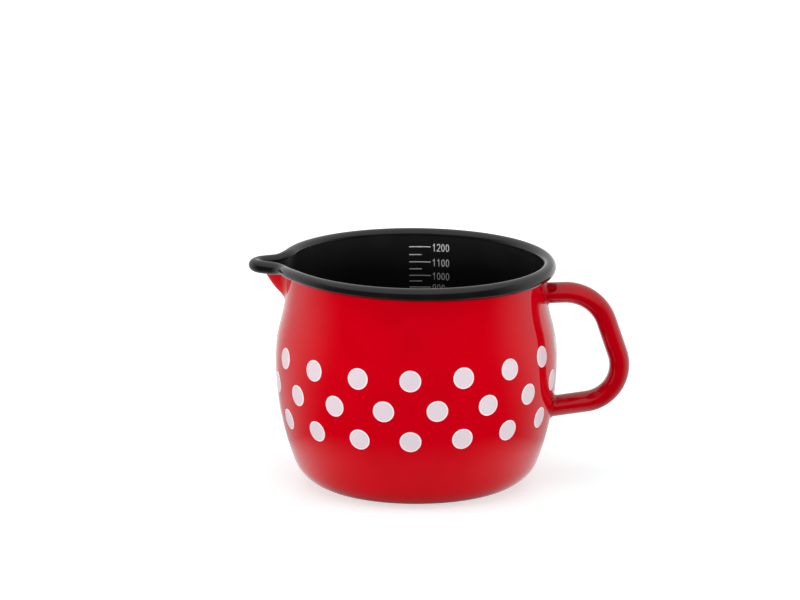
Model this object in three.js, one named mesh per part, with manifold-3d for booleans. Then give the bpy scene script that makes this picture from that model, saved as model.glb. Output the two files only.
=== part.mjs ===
// Spouted enamel cooking pot: a drawn steel belly vessel with a pulled pouring spout, a black
// lining, a rolled rim, a hollow loop handle of two pressed shells, and three rows of fired dots.
// Millimetres, +Z up. The origin is the middle of the base, +X points to the handle and -X to
// the spout.
import * as THREE from 'three';
import { LoftGeometry } from 'three/addons/geometries/LoftGeometry.js';
import { mergeVertices } from 'three/addons/utils/BufferGeometryUtils.js';
import Module from 'manifold-3d';

const wasm = await Module();
wasm.setup();

// Driving dimensions of the vessel
const POT_HEIGHT = 115.7;
const BELLY_DIAMETER = 142.8;
const BELLY_HEIGHT = 64;
const LOWER_BELLY_RADIUS = 150;
const CORNER_RADIUS = 17.8;
const NECK_INSET = 6.4;
const SHOULDER_SHARE = 0.39;
const STEEL_WALL = 1.0;
const LINING_WALL = 0.3;

// Driving dimensions of the rolled rim
const ROLL_WIDTH = 7;
const ROLL_HEIGHT = 6.5;
const ROLL_HEIGHT_CHANGE = 1.1;
const ROLL_CURL = 300;
const ROLL_SEAT = 0.3;
const RIM_TILT = 1.2;
const RIM_TILT_DEPTH = 8;
const RIM_HIGH_SIDE = 24;

// Driving dimensions of the spout
const SPOUT_PROJECTION = 14.3;
const SPOUT_DEPTH = 18.3;
const SPOUT_DROOP = 2.1;
const SPOUT_DIP_SIDE = 7;
const SPOUT_DIP_SPREAD = 16;
const SPOUT_TIP_RADIUS = 4.4;
const SPOUT_FLANK_ANGLE = 26;
const SPOUT_CREASE_RADIUS = 10;
const SPOUT_FOOT_SHARE = 0.5;
const SPOUT_ROLL_HEIGHT = 6.4;

// Driving dimensions of the handle
const HANDLE_DROP = 14.35;
const HANDLE_REACH = 103.15;
const UPPER_ARM_RISE = 2.5;
const LOWER_ROOT_HEIGHT = 39;
const LOWER_ARM_RISE = 8.9;
const GRIP_LEAN = 18.8;
const UPPER_BEND_RADIUS = 21.6;
const LOWER_BEND_RADIUS = 19.6;
const HANDLE_DEPTH = 10.3;
const LOWER_ARM_DEPTH = 10.2;
const HANDLE_WIDTH = 16;
const HANDLE_WALL = 1.0;
const HANDLE_SEAT = 0.3;
const WELD_LEG = 1.4;
const WELD_SEAT = 0.15;
const VENT_DIAMETER = 3.4;
const VENT_FROM_ROOT = 3.4;
const VENT_ANGLE = 42;

// Driving dimensions of the dots
const DOT_DIAMETER = 10.8;
const DOT_THICKNESS = 0.25;
const DOT_SEAT = 0.1;
const DOTS_PER_ROW = 16;
const DOT_PITCH_ANGLE = 21.8;
const UPPER_ROW_HEIGHT = 72.3;
const ROW_PITCH = 15.85;
const DOT_BAND_TILT = 2.9;
const DOT_BAND_HIGH_SIDE = 154;

// Facets: steps along each arc and around each section
const SPOUT_STEPS = 18;
const SPOUT_CURVE_DENSITY = 6;
const RIM_STEPS = 42;
const CORNER_STEPS = 3;
const LOWER_BELLY_STEPS = 4;
const SHOULDER_STEPS = 3;
const NECK_STEPS = 6;
const ROLL_STEPS = 10;
const BEND_STEPS = 4;
const SHELL_STEPS = 8;
const WELD_STEPS = 24;
const DOT_STEPS = 12;
const VENT_STEPS = 12;
const ROOT_SEARCH_STEPS = 40;

const { degToRad } = THREE.MathUtils;
const UP = new THREE.Vector3(0, 0, 1);

// Finishes
const RED_ENAMEL = new THREE.MeshStandardMaterial({ color: 0xc4061b, roughness: 0.15, metalness: 0 });
const BLACK_ENAMEL = new THREE.MeshStandardMaterial({ color: 0x0d0d0e, roughness: 0.15, metalness: 0 });
const RIM_ENAMEL = new THREE.MeshStandardMaterial({ color: 0x1d1e20, roughness: 0.3, metalness: 0 });
const WHITE_ENAMEL = new THREE.MeshStandardMaterial({ color: 0xe9dee2, roughness: 0.2, metalness: 0 });

// Meridian of the outside: corner arc, lower belly arc, shoulder arc and hollow neck arc, each
// tangent to the next. The neck ends upright at the height of the roll's middle.
const wholeWall = STEEL_WALL + LINING_WALL;
const bellyRadius = BELLY_DIAMETER / 2;
const mouthRadius = bellyRadius - NECK_INSET;
const rimHeight = POT_HEIGHT - ROLL_HEIGHT / 2;
const neckSpan = rimHeight - BELLY_HEIGHT;
const neckCurveTotal = (neckSpan ** 2 + NECK_INSET ** 2) / (2 * NECK_INSET);
const shoulderRadius = neckCurveTotal * SHOULDER_SHARE;
const neckRadius = neckCurveTotal - shoulderRadius;
const shoulderAngle = Math.asin(neckSpan / neckCurveTotal);
const shoulderHeight = BELLY_HEIGHT + shoulderRadius * Math.sin(shoulderAngle);
const cornerAngle = Math.asin((BELLY_HEIGHT - CORNER_RADIUS) / (LOWER_BELLY_RADIUS - CORNER_RADIUS));
const baseRadius = bellyRadius - LOWER_BELLY_RADIUS
  + (LOWER_BELLY_RADIUS - CORNER_RADIUS) * Math.cos(cornerAngle);
const cornerHeight = CORNER_RADIUS * (1 - Math.sin(cornerAngle));

const meridianArcs = [
  {
    r: baseRadius, z: CORNER_RADIUS, bend: CORNER_RADIUS,
    from: -Math.PI / 2, to: -cornerAngle, steps: CORNER_STEPS,
  },
  {
    r: bellyRadius - LOWER_BELLY_RADIUS, z: BELLY_HEIGHT, bend: LOWER_BELLY_RADIUS,
    from: -cornerAngle, to: 0, steps: LOWER_BELLY_STEPS,
  },
  {
    r: bellyRadius - shoulderRadius, z: BELLY_HEIGHT, bend: shoulderRadius,
    from: 0, to: shoulderAngle, steps: SHOULDER_STEPS,
  },
  {
    r: mouthRadius + neckRadius, z: rimHeight, bend: -neckRadius,
    from: shoulderAngle, to: 0, steps: NECK_STEPS,
  },
];

// Point of an arc where its outward normal rises by the given angle.
function arcPoint(arc, angle) {
  return {
    r: arc.r + arc.bend * Math.cos(angle),
    z: arc.z + arc.bend * Math.sin(angle),
    angle,
  };
}

// Rows of the meridian from the edge of the base up to the rim.
function meridianRows() {
  const rows = [arcPoint(meridianArcs[0], meridianArcs[0].from)];
  for (const arc of meridianArcs) {
    for (let step = 1; step <= arc.steps; step++) {
      rows.push(arcPoint(arc, THREE.MathUtils.lerp(arc.from, arc.to, step / arc.steps)));
    }
  }
  return rows;
}

// Outside of the round vessel at a height, away from the spout.
function outsideAt(z) {
  const heights = [cornerHeight, BELLY_HEIGHT, shoulderHeight];
  const above = heights.filter((height) => z > height).length;
  const arc = meridianArcs[above];
  return arcPoint(arc, Math.asin(THREE.MathUtils.clamp((z - arc.z) / arc.bend, -1, 1)));
}

// Plan of the spout at the rim, from the round wall through a hollow fillet, a flank and the tip
// and back, as angles off the spout's axis and how far each point stands out of the round wall.
function spoutOutline(steps) {
  const flank = degToRad(SPOUT_FLANK_ANGLE);
  const fillet = ROLL_WIDTH - wholeWall + SPOUT_CREASE_RADIUS;
  const tip = new THREE.Vector2(mouthRadius + SPOUT_PROJECTION - SPOUT_TIP_RADIUS, 0);
  const along = new THREE.Vector2(-Math.cos(flank), Math.sin(flank));
  const across = new THREE.Vector2(Math.sin(flank), Math.cos(flank));
  const start = tip.clone().addScaledVector(across, SPOUT_TIP_RADIUS + fillet);
  const half = start.dot(along);
  const run = -half - Math.sqrt(half ** 2 - start.lengthSq() + (mouthRadius + fillet) ** 2);
  const centre = start.addScaledVector(along, run);
  const swing = centre.angle();
  const outline = new THREE.Path();
  outline.absarc(centre.x, -centre.y, fillet, Math.PI - swing, Math.PI / 2 + flank, true);
  outline.absarc(tip.x, tip.y, SPOUT_TIP_RADIUS, flank - Math.PI / 2, Math.PI / 2 - flank, false);
  outline.absarc(centre.x, centre.y, fillet, -Math.PI / 2 - flank, swing - Math.PI, true);
  return outline.getSpacedPoints(steps).map((point) => ({
    angle: Math.atan2(point.y, point.x),
    out: point.length() - mouthRadius,
  }));
}

const spoutCurve = spoutOutline(SPOUT_STEPS * SPOUT_CURVE_DENSITY);

// How far the spout stands out of the round wall at the rim, at an angle off its axis.
function spoutOut(angle) {
  const next = spoutCurve.findIndex((place) => place.angle > angle);
  if (next < 1) return 0;
  const low = spoutCurve[next - 1];
  const high = spoutCurve[next];
  return THREE.MathUtils.mapLinear(angle, low.angle, high.angle, low.out, high.out);
}

// Angles of the points around the vessel, off the spout's axis: close together on the spout and
// even on the rest.
const ringAngles = spoutOutline(SPOUT_STEPS).map((place) => place.angle);
const spoutEdge = ringAngles[SPOUT_STEPS];
for (let step = 1; step < RIM_STEPS; step++) {
  ringAngles.push(THREE.MathUtils.lerp(spoutEdge, 2 * Math.PI - spoutEdge, step / RIM_STEPS));
}

// Share of the spout's projection at a height: its keel is straight from its foot to the rim.
function spoutShare(z) {
  return Math.max(0, 1 - (rimHeight - z) / SPOUT_DEPTH);
}

// Plan of the outside at one row, anticlockwise from one side of the spout, with its outward
// normals. The spout narrows towards its foot and dips where it leaves the wall. Near the rim the
// wall leans up towards its high side and dips beside the spout, most a little to its front.
function planRing(row) {
  const share = spoutShare(row.z);
  const narrow = THREE.MathUtils.lerp(SPOUT_FOOT_SHARE, 1, share);
  const nearRim = THREE.MathUtils.smoothstep(row.z, rimHeight - RIM_TILT_DEPTH, rimHeight);
  const points = ringAngles.map((angle) => {
    const out = share * spoutOut(angle / narrow);
    const radius = row.r + out;
    const turn = angle > Math.PI ? angle - 2 * Math.PI : angle;
    const off = (turn - degToRad(SPOUT_DIP_SIDE)) / degToRad(SPOUT_DIP_SPREAD);
    const beside = nearRim * Math.exp(-(off ** 2));
    const onSpout = THREE.MathUtils.smoothstep(out, 0, SPOUT_PROJECTION / 2);
    const dip = SPOUT_DROOP * (1 - (1 - beside) * (1 - onSpout));
    const lean = RIM_TILT * nearRim * Math.cos(angle - degToRad(RIM_HIGH_SIDE));
    const height = row.z + lean - dip;
    return new THREE.Vector3(-radius * Math.cos(angle), -radius * Math.sin(angle), height);
  });
  return points.map((point, index) => {
    const next = points[(index + 1) % points.length];
    const last = points[(index + points.length - 1) % points.length];
    const normal = next.clone().sub(last).cross(UP).normalize();
    return { point, normal };
  });
}

const wallRows = meridianRows();
const wallRings = wallRows.map(planRing);

// One row of the wall moved out of the outside by a distance along the surface's normal.
function offsetRing(index, distance) {
  const { angle } = wallRows[index];
  return wallRings[index].map(({ point, normal }) => (
    point.clone()
      .addScaledVector(normal, distance * Math.cos(angle))
      .addScaledVector(UP, distance * Math.sin(angle))
  ));
}

// Closed surface through rings of points, with the triangles that close up at a pole left out.
// Four-sided facets are split along one diagonal, and from a given ring on along the other, so
// that the two faces of a thin wall are split alike.
function loft(rings, { turnedFrom = rings.length, ...caps } = {}) {
  const surface = new THREE.BufferGeometry().copy(new LoftGeometry(rings, caps));
  surface.deleteAttribute('normal');
  surface.deleteAttribute('uv');
  const merged = mergeVertices(surface);
  const corners = Array.from(merged.index.array);
  const sides = rings[0].length;
  for (let facet = turnedFrom * sides; facet < (rings.length - 1) * sides; facet++) {
    const [a, b, d, , c] = corners.slice(6 * facet, 6 * facet + 6);
    corners.splice(6 * facet, 6, a, b, c, a, c, d);
  }
  const kept = [];
  for (let first = 0; first < corners.length; first += 3) {
    const [a, b, c] = corners.slice(first, first + 3);
    if (a !== b && b !== c && c !== a) kept.push(a, b, c);
  }
  merged.setIndex(kept);
  merged.computeVertexNormals();
  return merged;
}

function pole(point, count) {
  return Array.from({ length: count }, () => point.clone());
}

// Bowl of even thickness between two distances from the outside of the vessel.
function bowl(outer, inner) {
  const count = wallRings[0].length;
  const rows = wallRows.map((_, index) => index);
  const outside = rows.map((index) => offsetRing(index, outer));
  const inside = rows.map((index) => offsetRing(index, inner)).reverse();
  const under = pole(new THREE.Vector3(0, 0, -outer), count);
  const floor = pole(new THREE.Vector3(0, 0, -inner), count);
  return loft([under, ...outside, ...inside, floor], { turnedFrom: outside.length + 1 });
}

// Half the roll's height at a point of the rim: the roll is taller towards the handle, and has its
// own height on the spout.
function rollHalfHeight(angle) {
  const onSpout = THREE.MathUtils.smoothstep(spoutOut(angle), 0, SPOUT_PROJECTION / 2);
  const round = ROLL_HEIGHT - ROLL_HEIGHT_CHANGE * Math.cos(angle);
  return THREE.MathUtils.lerp(round, SPOUT_ROLL_HEIGHT, onSpout) / 2;
}

// Rolled rim: the sheet's edge curled outwards over the wall, as an open oval hook that starts a
// seat above the wall and ends short of its outside.
function rolledRim() {
  const middle = ROLL_WIDTH / 2 - wholeWall;
  const end = Math.PI - degToRad(ROLL_CURL);
  const halfHeights = ringAngles.map(rollHalfHeight);
  const hook = (inset, along) => wallRings[wallRings.length - 1].map(({ point, normal }, index) => {
    const halfHeight = halfHeights[index] - inset;
    const start = Math.PI - Math.asin(ROLL_SEAT / halfHeight);
    const angle = THREE.MathUtils.lerp(start, end, along);
    const out = middle + (ROLL_WIDTH / 2 - inset) * Math.cos(angle);
    return point.clone().addScaledVector(normal, out)
      .addScaledVector(UP, halfHeight * Math.sin(angle));
  });
  const steps = Array.from({ length: ROLL_STEPS + 1 }, (_, step) => step / ROLL_STEPS);
  const outside = steps.map((along) => hook(0, along));
  const inside = steps.map((along) => hook(wholeWall, along)).reverse();
  return loft([...outside, ...inside, outside[0]].reverse());
}

// Middle line of the handle in the upright plane through its arms: an upper arm that rises from
// the vessel, a bend, a leaning grip, a second bend and a lower arm that falls towards the vessel.
function handlePath() {
  const lean = degToRad(GRIP_LEAN);
  const upperRise = degToRad(UPPER_ARM_RISE);
  const lowerRise = degToRad(LOWER_ARM_RISE);
  const upperRoot = new THREE.Vector2(0, rimHeight - HANDLE_DROP);
  upperRoot.x = outsideAt(upperRoot.y).r;
  const lowerRoot = new THREE.Vector2(outsideAt(LOWER_ROOT_HEIGHT).r, LOWER_ROOT_HEIGHT);
  const gripSide = new THREE.Vector2(Math.cos(lean), Math.sin(lean));
  const armTop = new THREE.Vector2(-Math.sin(upperRise), Math.cos(upperRise));
  const lower = new THREE.Vector2(HANDLE_REACH - LOWER_BEND_RADIUS, lowerRoot.y);
  lower.y += (LOWER_BEND_RADIUS + (lower.x - lowerRoot.x) * Math.sin(lowerRise)) / Math.cos(lowerRise);
  const gripFoot = lower.clone().addScaledVector(gripSide, LOWER_BEND_RADIUS);
  const bend = Math.min(UPPER_BEND_RADIUS, (upperRoot.y - gripFoot.y) / (1 - Math.sin(lean)));
  const grip = gripFoot.dot(gripSide) - bend;
  const arm = upperRoot.dot(armTop) - bend;
  const upper = new THREE.Vector2(
    grip * armTop.y - arm * gripSide.y,
    arm * gripSide.x - grip * armTop.x,
  ).divideScalar(gripSide.cross(armTop));
  const armEnd = upper.clone().addScaledVector(armTop, bend);
  const path = new THREE.Path();
  path.moveTo(upperRoot.x, upperRoot.y);
  path.lineTo(armEnd.x, armEnd.y);
  path.absarc(upper.x, upper.y, bend, Math.PI / 2 + upperRise, lean, true);
  path.absarc(lower.x, lower.y, LOWER_BEND_RADIUS, lean, lowerRise - Math.PI / 2, true);
  path.lineTo(lowerRoot.x, lowerRoot.y);
  return path.getPoints(BEND_STEPS);
}

const handleLine = handlePath();
const handleEnd = handleLine.length - 1;

// Depth of the handle at one point of its middle line: even along the upper arm and the grip, and
// tapering round the lower bend, which has two facets for each bend step, to the lower arm.
function handleDepth(index) {
  const facets = 2 * BEND_STEPS;
  const round = THREE.MathUtils.clamp((index - handleEnd + 1) / facets + 1, 0, 1);
  return THREE.MathUtils.lerp(HANDLE_DEPTH, LOWER_ARM_DEPTH, round);
}

// Direction along the handle at one point of its middle line.
function handleDirection(index) {
  if (index === 0) return handleLine[1].clone().sub(handleLine[0]).normalize();
  const before = handleLine[index].clone().sub(handleLine[index - 1]).normalize();
  if (index === handleEnd) return before;
  return before.add(handleLine[index + 1].clone().sub(handleLine[index]).normalize()).normalize();
}

// Place of a section point at one point of the handle's middle line: out of the loop and across.
function handlePoint(index, [out, across]) {
  const line = handleLine[index];
  const along = handleDirection(index);
  return new THREE.Vector3(line.x - along.y * out, across, line.y + along.x * out);
}

// The same section point slid along its arm until it stands off the vessel by a distance.
function rootPoint(index, section, seat) {
  const along = handleDirection(index).multiplyScalar(index === 0 ? 1 : -1);
  const start = handlePoint(index, section);
  let near = -HANDLE_WIDTH;
  let far = HANDLE_WIDTH;
  const at = (travel) => (
    new THREE.Vector3(start.x + along.x * travel, start.y, start.z + along.y * travel)
  );
  for (let step = 0; step < ROOT_SEARCH_STEPS; step++) {
    const travel = (near + far) / 2;
    const point = at(travel);
    if (Math.hypot(point.x, point.y) > outsideAt(point.z).r + seat) far = travel;
    else near = travel;
  }
  return at(far);
}

// Point of the handle's oval section at an angle, moved inwards from its outside.
function ovalPoint(index, angle, inset) {
  return [
    (handleDepth(index) / 2 - inset) * Math.sin(angle),
    -(HANDLE_WIDTH / 2 - inset) * Math.cos(angle),
  ];
}

// One pressed half of the handle, from one seam of the oval section round to the other.
function handleShell(firstAngle) {
  const angles = Array.from({ length: SHELL_STEPS + 1 }, (_, step) => (
    firstAngle + Math.PI * step / SHELL_STEPS
  ));
  const rings = handleLine.map((_, index) => {
    const inside = angles.map((angle) => ovalPoint(index, angle, HANDLE_WALL));
    const outside = angles.map((angle) => ovalPoint(index, angle, 0)).reverse();
    return [...inside, ...outside].map((place) => (
      index === 0 || index === handleEnd
        ? rootPoint(index, place, HANDLE_SEAT)
        : handlePoint(index, place)
    ));
  });
  return loft(rings, { capStart: true, capEnd: true });
}

// Fillet weld around one end of the handle, clear of both surfaces by its seat.
function rootWeld(index) {
  const angles = Array.from({ length: WELD_STEPS }, (_, step) => 2 * Math.PI * step / WELD_STEPS);
  const ring = (outset, seat) => angles.map((angle) => (
    rootPoint(index, ovalPoint(index, angle, -outset), seat)
  ));
  const corner = ring(WELD_SEAT, WELD_SEAT);
  const onHandle = ring(WELD_SEAT, WELD_LEG);
  const onVessel = ring(WELD_LEG, WELD_SEAT);
  const rings = [corner, onHandle, onVessel, corner];
  return loft(index === 0 ? rings : rings.reverse());
}

function solidOf(geometry) {
  return new wasm.Manifold(new wasm.Mesh({
    numProp: 3,
    vertProperties: new Float32Array(geometry.attributes.position.array),
    triVerts: new Uint32Array(geometry.index.array),
  }));
}

// Vent hole through the outer shell near its upper root, on the side and top of the arm.
function drillVent(shell) {
  const angle = degToRad(VENT_ANGLE);
  const section = ovalPoint(0, angle, 0);
  const drill = new THREE.CylinderGeometry(
    VENT_DIAMETER / 2, VENT_DIAMETER / 2, HANDLE_DEPTH / 2, VENT_STEPS,
  );
  const direction = new THREE.Vector3(
    0, -Math.cos(angle) / HANDLE_WIDTH, Math.sin(angle) / HANDLE_DEPTH,
  ).normalize();
  const turn = new THREE.Quaternion().setFromUnitVectors(new THREE.Vector3(0, 1, 0), direction);
  const root = rootPoint(0, section, HANDLE_SEAT);
  drill.applyQuaternion(turn);
  drill.translate(root.x + VENT_FROM_ROOT, root.y, root.z);
  drill.deleteAttribute('normal');
  drill.deleteAttribute('uv');
  const cut = solidOf(shell).subtract(solidOf(mergeVertices(drill))).getMesh();
  const geometry = new THREE.BufferGeometry();
  geometry.setAttribute('position', new THREE.BufferAttribute(cut.vertProperties, 3));
  geometry.setIndex(new THREE.BufferAttribute(cut.triVerts, 1));
  geometry.computeVertexNormals();
  return geometry;
}

// Point off the outside of the round vessel, at an angle from the front towards the handle.
function surfacePoint(angle, z, distance) {
  const { r, angle: slope } = outsideAt(z);
  const radius = r + distance * Math.cos(slope);
  return new THREE.Vector3(
    radius * Math.sin(angle), -radius * Math.cos(angle), z + distance * Math.sin(slope),
  );
}

// Thin round dot that follows the belly.
function dot(angle, height) {
  const { r, angle: slope } = outsideAt(height);
  const ring = (distance) => Array.from({ length: DOT_STEPS }, (_, step) => {
    const turn = 2 * Math.PI * step / DOT_STEPS;
    const across = DOT_DIAMETER / 2 * Math.cos(turn);
    const up = DOT_DIAMETER / 2 * Math.sin(turn);
    return surfacePoint(angle + across / r, height + up * Math.cos(slope), distance);
  });
  const top = DOT_SEAT + DOT_THICKNESS;
  const back = pole(surfacePoint(angle, height, DOT_SEAT), DOT_STEPS);
  const face = pole(surfacePoint(angle, height, top), DOT_STEPS);
  return loft([back, ring(DOT_SEAT), ring(top), face]);
}

// A dot has no place where the weld of the handle's lower root covers the vessel.
function underRoot(angle, height) {
  const dotRoom = DOT_DIAMETER / 2 + WELD_LEG + DOT_SEAT;
  const across = Math.abs(angle - Math.PI / 2) * outsideAt(height).r;
  const away = Math.abs(height - LOWER_ROOT_HEIGHT);
  return across < HANDLE_WIDTH / 2 + dotRoom && away < LOWER_ARM_DEPTH / 2 + dotRoom;
}

const pot = new THREE.Group();

function place(name, geometry, finish) {
  const mesh = new THREE.Mesh(geometry, finish.clone());
  mesh.name = name;
  pot.add(mesh);
}

place('vessel_shell', bowl(0, -STEEL_WALL), RED_ENAMEL);
place('inner_lining', bowl(-STEEL_WALL, -wholeWall), BLACK_ENAMEL);
place('rim_roll', rolledRim(), RIM_ENAMEL);
place('handle_outer_shell', drillVent(handleShell(0)), RED_ENAMEL);
place('handle_inner_shell', handleShell(Math.PI), RED_ENAMEL);
place('upper_handle_weld', rootWeld(0), RED_ENAMEL);
place('lower_handle_weld', rootWeld(handleEnd), RED_ENAMEL);

// Rows of dots, counted from the front towards the handle and from the back on: the pitch leaves a
// wider gap at the back.
['upper', 'middle', 'lower'].forEach((rowName, row) => {
  for (let count = 0; count < DOTS_PER_ROW; count++) {
    const turn = count < DOTS_PER_ROW / 2 ? count : count - DOTS_PER_ROW;
    const angle = degToRad(DOT_PITCH_ANGLE) * (turn + (row % 2) / 2);
    const lift = DOT_BAND_TILT * Math.cos(angle - degToRad(DOT_BAND_HIGH_SIDE));
    const height = UPPER_ROW_HEIGHT - ROW_PITCH * row + lift;
    if (underRoot(angle, height)) continue;
    const number = String(count + 1).padStart(2, '0');
    place(`dot_${rowName}_${number}`, dot(angle, height), WHITE_ENAMEL);
  }
});

export default pot;
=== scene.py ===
"""Looks of a spouted enamel pot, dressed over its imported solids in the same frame.

The pot is red outside and black inside, with a black rolled rim that runs round a pulled spout, a
hollow loop handle, three rows of white dots and a white measuring scale on the back of the inside.
Sizes are in millimetres, and become metres when a mesh is made. Most are those of the solids. The
belly, the roll and the handle's reach are a hair smaller, so that the finer surfaces stay inside the
solids' box. +X points to the handle, -X to the spout, -Y to the front and +Z up.
"""
import logging
from dataclasses import dataclass, replace
from enum import Enum

import bpy
import numpy as np
from mathutils import Matrix, Vector

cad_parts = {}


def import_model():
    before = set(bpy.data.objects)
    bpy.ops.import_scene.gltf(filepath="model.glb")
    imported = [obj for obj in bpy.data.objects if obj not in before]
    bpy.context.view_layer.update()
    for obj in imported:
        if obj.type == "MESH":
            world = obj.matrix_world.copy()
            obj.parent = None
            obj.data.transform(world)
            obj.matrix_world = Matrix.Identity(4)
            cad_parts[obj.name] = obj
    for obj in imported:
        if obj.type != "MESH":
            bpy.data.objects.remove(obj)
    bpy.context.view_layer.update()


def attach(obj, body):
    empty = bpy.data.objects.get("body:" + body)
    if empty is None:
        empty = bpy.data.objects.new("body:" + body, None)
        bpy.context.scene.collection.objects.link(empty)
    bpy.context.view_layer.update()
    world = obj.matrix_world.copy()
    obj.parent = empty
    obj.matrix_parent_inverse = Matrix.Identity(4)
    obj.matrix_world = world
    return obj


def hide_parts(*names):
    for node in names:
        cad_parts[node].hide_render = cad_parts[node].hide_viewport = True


MM = 0.001
BODY = "root"
EDGE_MARK = "edge"
IMAGE_WIDTH = 800
IMAGE_HEIGHT = 600
SENSOR_WIDTH = 36.0
SMALLEST = 1e-9

Array = np.ndarray
Colour = tuple[float, float, float, float]
Triple = tuple[float, float, float]
Span = tuple[float, float]
Socket = bpy.types.NodeSocket
log = logging.getLogger("enamel_pot")


class Slot(Enum):
    """Material slots of the record that the pieces take their finish from."""

    RED = "red_enamel"
    LINING = "black_enamel"
    RIM = "rim_enamel"
    WHITE = "white_enamel"


def srgb(red: float, green: float, blue: float) -> Colour:
    """Linear colour, with full alpha, of a display colour, by the standard sRGB curve.

    Args:
        red: Red from 0 to 255.
        green: Green from 0 to 255.
        blue: Blue from 0 to 255.

    Returns:
        The linear red, green, blue and alpha.
    """
    share = np.array([red, green, blue]) / 255
    linear = np.where(share <= 0.04045, share / 12.92, ((share + 0.055) / 1.055) ** 2.4)
    return (float(linear[0]), float(linear[1]), float(linear[2]), 1.0)


def smooth(value: Array) -> Array:
    """Smooth step of a value held from 0 to 1: 3 v squared less 2 v cubed."""
    held = np.clip(value, 0, 1)
    return held * held * (3 - 2 * held)


def mix(low: Array, high: Array, share: Array) -> Array:
    """Straight mix of two values: low at share 0 and high at share 1."""
    return low + (high - low) * share


def signed(angle: Array) -> Array:
    """The same angle from minus half a turn to half a turn."""
    return (angle + np.pi) % (2 * np.pi) - np.pi


def unit(angle: Array) -> Array:
    """Points of the unit circle: the cosine and the sine of an angle, on the last axis."""
    return np.stack([np.cos(angle), np.sin(angle)], axis=-1)


class Surface:
    """Points and faces of one piece, gathered from grids and caps, in millimetres."""

    def __init__(self) -> None:
        """Starts with no points and no faces."""
        self.points: list[Array] = []
        self.faces: list[Array] = []
        self.marks: list[Array] = []
        self.count = 0

    def add_points(self, points: Array, mark: Array | float = 0.0) -> Array:
        """Adds points to the piece.

        Args:
            points: Array whose last axis is x, y and z.
            mark: Value of the edge mark at each point, or one value for all of them.

        Returns:
            The numbers of the new points, in the shape of the other axes.
        """
        shape = points.shape[:-1]
        size = int(np.prod(shape))
        self.points.append(points.reshape(-1, 3))
        self.marks.append(np.broadcast_to(mark, shape).reshape(-1))
        numbers = np.arange(self.count, self.count + size).reshape(shape)
        self.count += size
        return numbers

    def add_grid(self, points: Array, mark: Array | float = 0.0, closed_rows: bool = False) -> Array:
        """Adds a grid of four-sided faces whose columns close on themselves.

        Args:
            points: Rows by columns by three.
            mark: Value of the edge mark at each point.
            closed_rows: Whether the last row joins the first one too.

        Returns:
            The numbers of the points, rows by columns.
        """
        numbers = self.add_points(points, mark)
        here = numbers if closed_rows else numbers[:-1]
        over = np.roll(numbers, -1, axis=0) if closed_rows else numbers[1:]
        corners = [here, np.roll(here, -1, axis=1), np.roll(over, -1, axis=1), over]
        self.faces.append(np.stack(corners, axis=-1).reshape(-1, 4))
        return numbers

    def add_caps(self, numbers: Array, first: Array, last: Array) -> None:
        """Closes the two ends of a grid with a fan of triangles to one point each.

        Args:
            numbers: Numbers of the grid's points.
            first: Point that closes the first row.
            last: Point that closes the last row.
        """
        apex = self.add_points(np.stack([first, last]))
        for row, pole, turn in ((numbers[0], apex[0], 1), (numbers[-1], apex[1], -1)):
            ends = [np.roll(row, -1), row][::turn]
            self.faces.append(np.stack([*ends, np.full_like(row, pole)], axis=-1))

    def volume(self) -> float:
        """Signed volume: a sixth of the sum of a . (b x c) over the triangles of every face."""
        points = np.concatenate(self.points)
        total = 0.0
        for faces in self.faces:
            for turn in range(1, faces.shape[1] - 1):
                a, b, c = (points[faces[:, corner]] for corner in (0, turn, turn + 1))
                total += float(np.einsum("ij,ij->", a, np.cross(b, c))) / 6
        return total

    def make(self, name: str, sharp: float = 40.0) -> bpy.types.Object:
        """Puts the points and faces into a mesh object in metres, with its faces outwards.

        Args:
            name: Name of the object and its mesh.
            sharp: Angle between faces, in degrees, past which an edge is shaded sharp.

        Returns:
            The linked object.
        """
        inside_out = self.volume() < 0
        faces = [part[:, ::-1] if inside_out else part for part in self.faces]
        corners = np.concatenate([part.ravel() for part in faces]).astype(np.int32)
        totals = np.concatenate([np.full(len(part), part.shape[1]) for part in faces])
        starts = np.concatenate([[0], np.cumsum(totals)[:-1]]).astype(np.int32)
        places = (np.concatenate(self.points) * MM).astype(np.float32)
        mesh = bpy.data.meshes.new(name)
        mesh.vertices.add(len(places))
        mesh.vertices.foreach_set("co", places.ravel())
        mesh.loops.add(len(corners))
        mesh.loops.foreach_set("vertex_index", corners)
        mesh.polygons.add(len(starts))
        mesh.polygons.foreach_set("loop_start", starts)
        mesh.update(calc_edges=True)
        mesh.shade_smooth()
        mesh.set_sharp_from_angle(angle=np.radians(sharp))
        mark = mesh.attributes.new(EDGE_MARK, "FLOAT", "POINT")
        mark.data.foreach_set("value", np.concatenate(self.marks).astype(np.float32))
        piece = bpy.data.objects.new(name, mesh)
        bpy.context.scene.collection.objects.link(piece)
        return piece


@dataclass(frozen=True)
class Arc:
    """Arc of the wall's meridian: its point lies at its middle plus bend along the normal."""

    radius: float
    height: float
    bend: float
    start: float
    stop: float


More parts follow.
